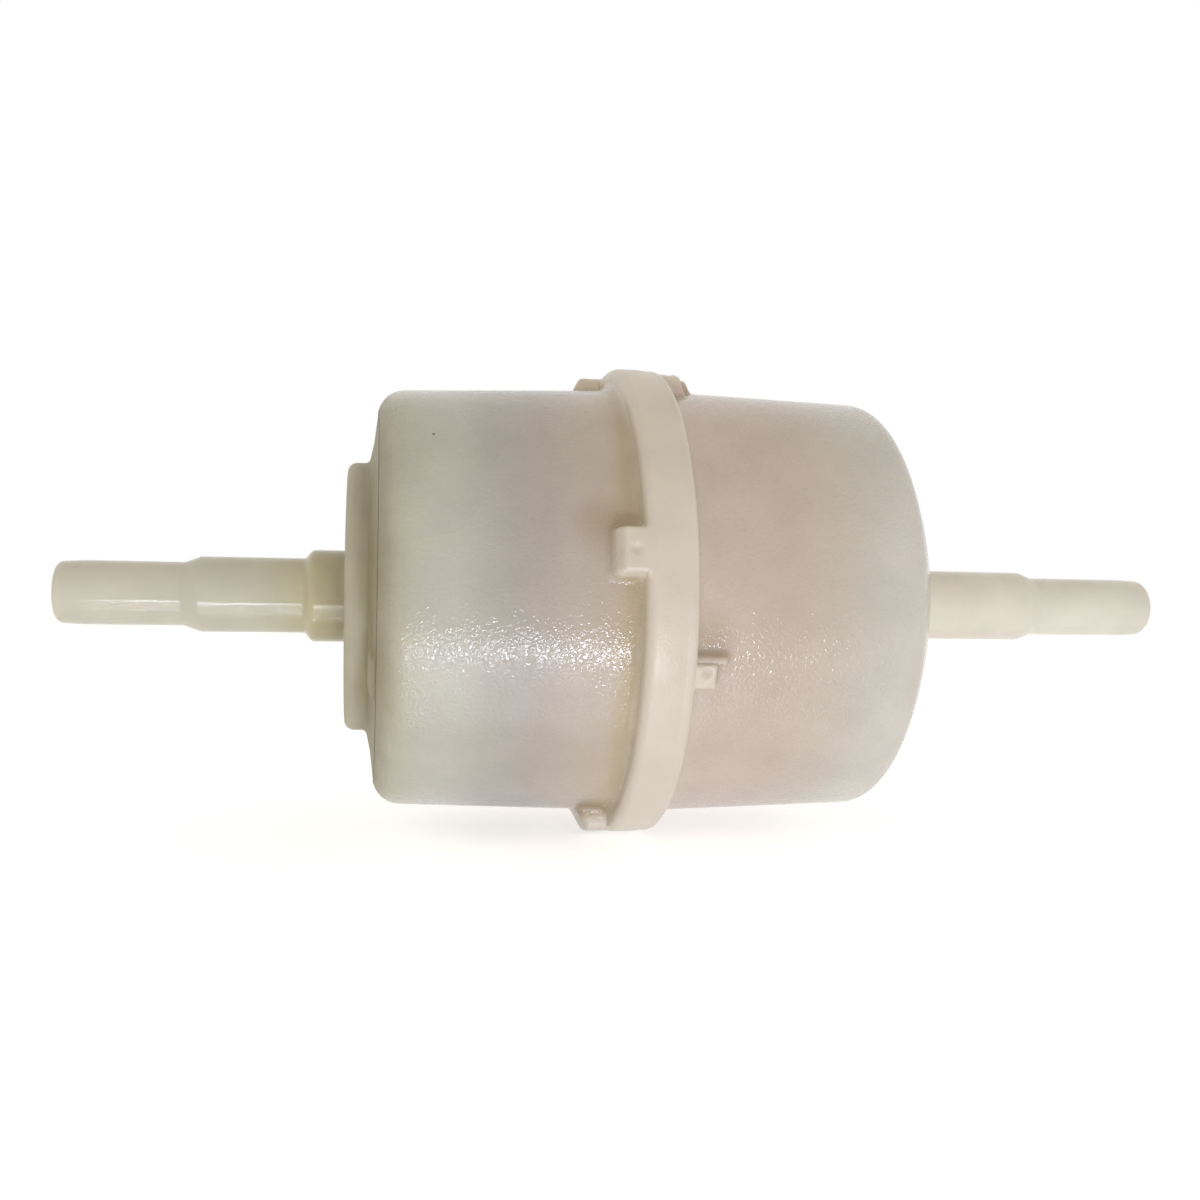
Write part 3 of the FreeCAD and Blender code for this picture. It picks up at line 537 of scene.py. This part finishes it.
outlet_corners = [
    (65.1, 2.4, 0.1, 1.0, 1),
    (65.1, 3.3, 0.8, 3.0, 1),
    (62.1, 3.45, 0.0, 4.0, 1),
    (50.2, 3.45, 1.0, 1.0, 1),
    (48.5, 4.1, 1.0, 4.0, 1),
    (on_dome(4.1, dome_r), 4.1, 0.9, 1.0, 1),
    *[(on_dome(r, dome_r), r, 0.0, 2.0, 1) for r in crown_radii],
    (on_dome(23.25, dome_r), 23.25, 2.4, 2.5, 1),
    (7.4, 23.72, 0.0, 0.16, 1),
    (2.1, 23.85, 0.4, 0.3, 1),
    (2.1, 26.0, 0.6, 0.5, 1),
    (1.0, 26.0, 0.0, 1.0, 0),
    (1.0, 24.5, 0.0, 1.0, 0),
    (-0.8, 24.5, 0.1, 1.0, 0),
    (-0.8, 23.3, 0.1, 1.0, 0),
    (1.0, 23.3, 0.0, 1.0, 0),
    (1.0, 21.85, 0.0, 5.0, 0),
    (on_dome(21.25, cavity_r), 21.25, 0.6, 2.0, 0),
    *[(on_dome(r, cavity_r), r, 0.0, 2.0, 0) for r in (18.0, 15.0, 12.0, 9.5)],
    (on_dome(8.2, cavity_r), 8.2, 0.0, 3.0, 0),
    (22.0, 8.2, 0.2, 1.0, 0),
    (22.0, 6.0, 0.2, 3.0, 0),
    (28.6, 6.0, 0.2, 2.0, 0),
    (28.6, 2.4, 0.2, 6.0, 0),
]
outlet_shell = turned_shell(
    "outlet_shell_moulding",
    turned_tree,
    outlet_corners,
    {
        **steps_round,
        "First Lug": math.radians(outlet_first_lug),
        "Lug Top": 25.8 * MM,
        "Lug Width": 2.7 * MM,
        "Lug End": 3.65 * MM,
        "Lug Slope": 0.5 * MM,
        "Edge Softness": 0.3 * MM,
        "Dent At": 2.2 * MM,
        "Dent Aside": 0.5 * MM,
        "Dent Radius": 0.75 * MM,
        "Dent Depth": 0.3 * MM,
        "Ledge Top": 25.15 * MM,
        "Ledge Width": 1.0 * MM,
        "Ledge Aside": 1.45 * MM,
        "Ledge End": 4.8 * MM,
    },
    outlet_nylon,
)
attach(outlet_shell, "root")
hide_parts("outlet_shell")

# Inlet shell. The other moulded half, spin-welded over the outlet shell's tongue: a drafted cup
# with a stiffening disc, a boss and a stepped hose nipple, and a broad collar with four lugs that
# the welding head drives. The fins inside, which centre the element, are left out of this mesh.
inlet_first_lug = 11.0
inlet_nylon = nylon(
    "moulded natural nylon, inlet half",
    (
        (-61.6, "D6D3C2"),
        (-56.0, "DAD6C6"),
        (-50.0, "D8D4C3"),
        (-46.5, "D3CFBF"),
        (-41.0, "D5D1BE"),
        (-38.5, "CFCAB2"),
        (-36.5, "C8C2A5"),
        (-35.4, "CAC2A0"),
        (-34.0, "BDB591"),
        (-31.8, "B3AC8C"),
        (-31.3, "C0BBA6"),
        (-30.3, "BBB59E"),
        # painted shade: the end face between the disc and the rim, darkest at -28.6 mm
        (-29.4, "A8A084"),
        (-28.6, "9C9576"),
        (-27.6, "AFA992"),
        (-26.6, "C2BDA9"),
        (-25.2, "C9C6B5"),
        (-23.4, "CBC9BD"),
        (-20.5, "C9C8BC"),
        (-17.7, "C1BCB3"),
        (-14.8, "BEB7AF"),
        (-12.0, "BFB5AC"),
        (-9.0, "C6BBB0"),
        (-6.2, "CABDAE"),
        # partly the thicker nylon, partly painted shade: the olive band beside the collar's root
        (-5.2, "C8BAA4"),
        (-4.4, "C3B396"),
        (-3.6, "C4B599"),
        (-3.0, "D2C6B0"),
        (1.1, "DDD5C4"),
    ),
    first_lug=inlet_first_lug,
    lug_at=(-6.4, 3.0),
    shadow=0.55,
    solid_from=24.1,
)
inlet_corners = [
    (-61.5, 2.4, 0.1, 6.0, 0),
    (-27.1, 2.4, 0.2, 4.0, 0),
    (-25.8, 20.65, 0.6, 5.0, 0),
    (1.0, 21.7, 0.0, 1.0, 0),
    (1.0, 23.0, 0.0, 1.0, 0),
    (-1.1, 23.0, 0.0, 1.0, 0),
    (-1.1, 24.8, 0.0, 1.0, 0),
    (1.0, 24.8, 0.0, 1.0, 0),
    (1.0, 26.0, 0.0, 0.5, 1),
    (0.0, 26.1, 0.0, 1.0, 1),
    (-3.0, 26.1, 1.1, 0.2, 1),
    (-3.1, 23.67, 1.2, 0.16, 1),
    (-8.0, 23.48, 0.0, 2.5, 1),
    (-27.8, 22.65, 3.0, 0.3, 1),
    (-28.2, 20.6, 0.0, 0.2, 1),
    (-28.62, 17.0, 0.0, 0.8, 1),
    (-29.1, 14.7, 0.6, 0.5, 1),
    (-31.4, 14.7, 1.0, 2.0, 1),
    (-31.4, 5.05, 0.25, 1.0, 1),
    (-35.1, 5.05, 0.8, 0.5, 1),
    (-35.8, 4.1, 0.5, 3.0, 1),
    (-46.8, 4.1, 1.0, 1.0, 1),
    (-48.5, 3.45, 1.0, 4.0, 1),
    (-58.5, 3.45, 0.0, 3.0, 1),
    (-61.5, 3.3, 0.8, 1.0, 1),
]
inlet_shell = turned_shell(
    "inlet_shell_moulding",
    turned_tree,
    inlet_corners,
    {
        **steps_round,
        "First Lug": math.radians(inlet_first_lug),
        "Lug Top": 26.0 * MM,
        "Lug Width": 5.1 * MM,
        "Lug End": 7.2 * MM,
        "Lug Slope": 0.7 * MM,
        "Edge Softness": 0.6 * MM,
        "Dent At": 5.1 * MM,
        "Dent Radius": 0.9 * MM,
        "Dent Depth": 0.3 * MM,
        "Pad Angle": math.radians(-23.5),
        "Pad Middle": 18.8 * MM,
        "Pad Length": 3.2 * MM,
        "Pad Width": 4.8 * MM,
        "Pad Height": 0.45 * MM,
    },
    inlet_nylon,
)
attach(inlet_shell, "root")
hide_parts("inlet_shell")

# Stage: a plain pale floor just under the collar, a plain pale world, and soft lamps.
floor_mesh = bpy.data.meshes.new("floor")
reach, floor_z = 1.5, -26.2 * MM
signs = ((-1, -1), (1, -1), (1, 1), (-1, 1))
floor_mesh.from_pydata([(a * reach, b * reach, floor_z) for a, b in signs], [], [(0, 1, 2, 3)])
floor = bpy.data.objects.new("floor", floor_mesh)
bpy.context.scene.collection.objects.link(floor)
floor.visible_shadow = False


def seen_by_camera(tree):
    """One for rays that reach the camera straight, mirrored or refracted, and zero for the rest."""
    ray = add(tree, "ShaderNodeLightPath").outputs
    straight, mirrored = ray["Is Camera Ray"], ray["Is Glossy Ray"]
    seen = add(tree, "ShaderNodeMath", straight, mirrored, operation="MAXIMUM")
    return add(tree, "ShaderNodeMath", seen, ray["Is Transmission Ray"], operation="MAXIMUM")


pale, tree = new_material("matt white floor")
seen = seen_by_camera(tree)
lift = add(tree, "ShaderNodeMath", seen, 0.62, operation="MULTIPLY")
base = add(tree, "ShaderNodeBsdfDiffuse", {"Color": linear("EFEEEC")})
glow = add(tree, "ShaderNodeEmission", {"Color": (1, 1, 1, 1), "Strength": lift})
both = add(tree, "ShaderNodeAddShader", base, glow)
add(tree, "ShaderNodeOutputMaterial", both)
floor_mesh.materials.append(pale)

world = bpy.data.worlds.new("pale studio")
bpy.context.scene.world = world
world.use_nodes = True
tree = world.node_tree
tree.nodes.clear()
seen = seen_by_camera(tree)
room = add(tree, "ShaderNodeBackground", {"Color": linear("F8F0E5"), "Strength": 0.67})
white = add(tree, "ShaderNodeBackground", {"Color": (1, 1, 1, 1), "Strength": 1.0})
both = add(tree, "ShaderNodeMixShader", seen, room, white)
add(tree, "ShaderNodeOutputWorld", both)


def lamp(name, turn, height, distance, width, depth, power):
    """A soft lamp aimed at the filter: turn from the front towards +X, and height, in degrees.

    Distance, width and depth are in metres, power in watts.
    """
    light = bpy.data.lights.new(name, "AREA")
    light.shape = "RECTANGLE"
    light.size, light.size_y = width, depth
    light.energy = power
    light.color = (0.94, 0.99, 1.12)
    light.cycles.use_multiple_importance_sampling = False
    one = bpy.data.objects.new(name, light)
    bpy.context.scene.collection.objects.link(one)
    a, h = math.radians(turn), math.radians(height)
    away = Vector((math.sin(a) * math.cos(h), -math.cos(a) * math.cos(h), math.sin(h)))
    one.location = away * distance
    one.rotation_euler = one.location.to_track_quat("Z", "Y").to_euler()


lamp("low front lamp", 6.0, -26.5, 0.7, 0.07, 0.05, 0.7)
lamp("low side strip", -12.6, -27.5, 0.7, 0.17, 0.06, 0.3)
lamp("low fill lamp", 0.0, -50.0, 0.8, 0.5, 0.5, 1.3)

# Camera: a normal lens, close to the filter, level with the axis, a little towards the inlet.
lens = bpy.data.cameras.new("camera")
lens.sensor_width = 36.0
lens.lens = 37.5
lens.clip_start = 0.005
camera = bpy.data.objects.new("camera", lens)
bpy.context.scene.collection.objects.link(camera)
bpy.context.scene.camera = camera
swing, roll = math.radians(10.45), math.radians(0.864)
aim_x, distance = -2.9 * MM, 143.35 * MM
stand = Vector((aim_x - distance * math.sin(swing), -distance * math.cos(swing), 0))
camera.matrix_world = (
    Matrix.Translation(stand)
    @ Matrix.Rotation(-swing, 4, "Z")
    @ Matrix.Rotation(math.radians(90), 4, "X")
    @ Matrix.Rotation(roll, 4, "Z")
)
bpy.context.scene.view_settings.view_transform = "Standard"
